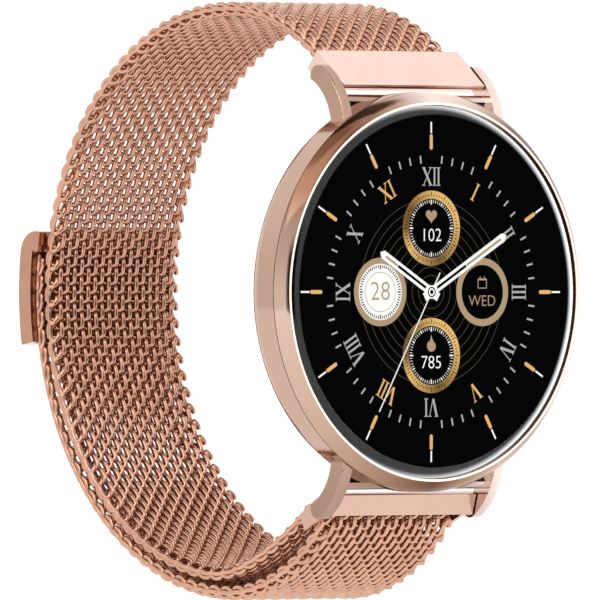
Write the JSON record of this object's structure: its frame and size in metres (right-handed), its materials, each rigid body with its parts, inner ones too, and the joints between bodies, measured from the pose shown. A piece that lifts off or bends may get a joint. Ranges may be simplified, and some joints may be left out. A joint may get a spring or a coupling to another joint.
{
  "type": "smartwatch",
  "caption": "Round smartwatch: thin metal case with a glass touch display, side button and optical back sensor, on a woven metal loop strap with a magnetic tab.",
  "frame": {"origin": "centre of the sensor face on the case back, which rests on the wrist", "axes": "+X towards 3 o'clock, +Y from the sensor face into the wrist loop, +Z towards 12 o'clock; the display faces -Y"},
  "size_m": [0.044, 0.0591, 0.0653],
  "materials": {
    "case_metal": "polished rose gold plating",
    "strap_metal": "polished rose gold plating",
    "wire_mesh": "drawn wire with rose gold plating",
    "cover_glass": "polished",
    "display_black": "black display stack",
    "lens_black": "polished black window",
    "seal_rubber": "satin",
    "frame_plastic": "moulded",
    "board_green": "solder mask",
    "battery_wrap": "foil pouch",
    "cable_amber": "polyimide film",
    "plain_steel": "plain",
    "sensor_glass": "clear resin",
    "contact_gold": "gold plated"
  },
  "bodies": {
    "case": {"cover_glass": "cover_glass", "bezel_ring": "case_metal", "glass_adhesive": "seal_rubber", "display_panel": "display_black", "mid_case": "case_metal", "inner_frame": "frame_plastic", "main_board": "board_green", "battery": "battery_wrap", "vibration_motor": "plain_steel", "display_cable": "cable_amber", "button_switch": "frame_plastic", "back_cover": "case_metal", "back_gasket": "seal_rubber", "back_screws": "plain_steel", "sensor_lens": "lens_black", "sensor_board": "board_green", "optical_sensor": "sensor_glass", "charging_contacts": "contact_gold", "charging_magnets": "plain_steel", "upper_bar_tube": "plain_steel", "lower_bar_tube": "plain_steel", "button_spring": "plain_steel", "upper_bar_spring": "plain_steel", "lower_bar_spring": "plain_steel"},
    "side_button": {"side_button": "case_metal", "button_seal": "seal_rubber"},
    "upper_bar_tip": {"upper_bar_tip": "plain_steel"},
    "lower_bar_tip": {"lower_bar_tip": "plain_steel"},
    "upper_end_link": {"upper_end_link": "strap_metal"},
    "upper_run_1": {"upper_mesh_1": "wire_mesh"},
    "upper_run_2": {"upper_mesh_2": "wire_mesh"},
    "upper_run_3": {"upper_mesh_3": "wire_mesh"},
    "upper_run_4": {"upper_mesh_4": "wire_mesh"},
    "upper_run_5": {"upper_mesh_5": "wire_mesh"},
    "upper_run_6": {"upper_mesh_6": "wire_mesh"},
    "upper_run_7": {"upper_mesh_7": "wire_mesh"},
    "slotted_ring": {"slotted_ring": "strap_metal"},
    "lower_run": {"lower_mesh": "wire_mesh", "mesh_fold": "wire_mesh"},
    "tail_1": {"tail_mesh_1": "wire_mesh"},
    "tail_2": {"tail_mesh_2": "wire_mesh"},
    "tail_3": {"tail_mesh_3": "wire_mesh"},
    "tail_4": {"tail_mesh_4": "wire_mesh"},
    "tail_5": {"tail_mesh_5": "wire_mesh"},
    "tail_6": {"tail_mesh_6": "wire_mesh"},
    "tab": {"tail_mesh_end": "wire_mesh", "tab_shell": "strap_metal", "tab_magnets": "plain_steel", "tab_plate": "strap_metal"}
  },
  "joints": [
    {"name": "button_press", "type": "slide", "parent": "case", "child": "side_button", "axis": [-1, 0, 0], "range_m": [0, 0.00035], "stiffness_N_per_m": 3000, "deforming": ["button_spring"]},
    {"name": "upper_bar_release", "type": "slide", "parent": "case", "child": "upper_bar_tip", "axis": [-1, 0, 0], "range_m": [0, 0.001], "stiffness_N_per_m": 600, "deforming": ["upper_bar_spring"]},
    {"name": "lower_bar_release", "type": "slide", "parent": "case", "child": "lower_bar_tip", "axis": [-1, 0, 0], "range_m": [0, 0.001], "stiffness_N_per_m": 600, "deforming": ["lower_bar_spring"]},
    {"name": "ring_swing", "type": "hinge", "parent": "case", "child": "slotted_ring", "pos_m": [0, -0.0038, -0.0229], "axis": [1, 0, 0], "range_deg": [-8, 8]},
    {"name": "rear_bar_turn", "type": "hinge", "parent": "slotted_ring", "child": "lower_run", "pos_m": [0, -0.00034, -0.02457], "axis": [1, 0, 0], "range_deg": [-7.12, 7.12]},
    {"name": "link_turn", "type": "hinge", "parent": "case", "child": "upper_end_link", "pos_m": [0, -0.0038, 0.0229], "axis": [1, 0, 0], "range_deg": [-1.08, 1.08]},
    {"name": "upper_bend_1", "type": "hinge", "parent": "upper_end_link", "child": "upper_run_1", "pos_m": [0, -0.00128, 0.02517], "axis": [1, 0, 0], "range_deg": [-0.5, 0.5]},
    {"name": "upper_bend_2", "type": "hinge", "parent": "upper_run_1", "child": "upper_run_2", "pos_m": [0, 0.00625, 0.02945], "axis": [1, 0, 0], "range_deg": [-1.02, 1.02]},
    {"name": "upper_bend_3", "type": "hinge", "parent": "upper_run_2", "child": "upper_run_3", "pos_m": [0, 0.0148, 0.03084], "axis": [1, 0, 0], "range_deg": [-1, 1]},
    {"name": "upper_bend_4", "type": "hinge", "parent": "upper_run_3", "child": "upper_run_4", "pos_m": [0, 0.02337, 0.02946], "axis": [1, 0, 0], "range_deg": [-0.87, 0.87]},
    {"name": "upper_bend_5", "type": "hinge", "parent": "upper_run_4", "child": "upper_run_5", "pos_m": [0, 0.03121, 0.02573], "axis": [1, 0, 0], "range_deg": [-3.39, 3.39]},
    {"name": "upper_bend_6", "type": "hinge", "parent": "upper_run_5", "child": "upper_run_6", "pos_m": [0, 0.03771, 0.01998], "axis": [1, 0, 0], "range_deg": [-1.92, 1.92]},
    {"name": "upper_bend_7", "type": "hinge", "parent": "upper_run_6", "child": "upper_run_7", "pos_m": [0, 0.04234, 0.01263], "axis": [1, 0, 0], "range_deg": [-3.6, 3.6]},
    {"name": "tail_peel", "type": "hinge", "parent": "lower_run", "child": "tail_1", "pos_m": [0, -0.00146, -0.02556], "axis": [-1, 0, 0], "range_deg": [0, 17]},
    {"name": "tail_bend_2", "type": "hinge", "parent": "tail_1", "child": "tail_2", "pos_m": [0, 0.00705, -0.03143], "axis": [-1, 0, 0], "range_deg": [0, 17.05]},
    {"name": "tail_bend_3", "type": "hinge", "parent": "tail_2", "child": "tail_3", "pos_m": [0, 0.01733, -0.03265], "axis": [-1, 0, 0], "range_deg": [0, 17.05]},
    {"name": "tail_bend_4", "type": "hinge", "parent": "tail_3", "child": "tail_4", "pos_m": [0, 0.0274, -0.03003], "axis": [-1, 0, 0], "range_deg": [0, 17.05]},
    {"name": "tail_bend_5", "type": "hinge", "parent": "tail_4", "child": "tail_5", "pos_m": [0, 0.03614, -0.02438], "axis": [-1, 0, 0], "range_deg": [0, 17.05]},
    {"name": "tail_bend_6", "type": "hinge", "parent": "tail_5", "child": "tail_6", "pos_m": [0, 0.04268, -0.01628], "axis": [-1, 0, 0], "range_deg": [0, 17.05]},
    {"name": "tab_bend", "type": "hinge", "parent": "tail_6", "child": "tab", "pos_m": [0, 0.04634, -0.00654], "axis": [-1, 0, 0], "range_deg": [0, 17.05]}
  ],
  "couplings": [
    {"joint": "rear_bar_turn", "follows": "ring_swing", "ratio": -0.88397},
    {"joint": "link_turn", "follows": "ring_swing", "ratio": 0.12861},
    {"joint": "upper_bend_1", "follows": "ring_swing", "ratio": 0.056552},
    {"joint": "upper_bend_2", "follows": "ring_swing", "ratio": 0.12177},
    {"joint": "upper_bend_3", "follows": "ring_swing", "ratio": 0.1188},
    {"joint": "upper_bend_4", "follows": "ring_swing", "ratio": -0.10196},
    {"joint": "upper_bend_5", "follows": "ring_swing", "ratio": -0.41712},
    {"joint": "upper_bend_6", "follows": "ring_swing", "ratio": -0.23391},
    {"joint": "upper_bend_7", "follows": "ring_swing", "ratio": 0.44327},
    {"joint": "tail_bend_2", "follows": "tail_peel", "ratio": 1},
    {"joint": "tail_bend_3", "follows": "tail_peel", "ratio": 1},
    {"joint": "tail_bend_4", "follows": "tail_peel", "ratio": 1},
    {"joint": "tail_bend_5", "follows": "tail_peel", "ratio": 1},
    {"joint": "tail_bend_6", "follows": "tail_peel", "ratio": 1},
    {"joint": "tab_bend", "follows": "tail_peel", "ratio": 1}
  ]
}
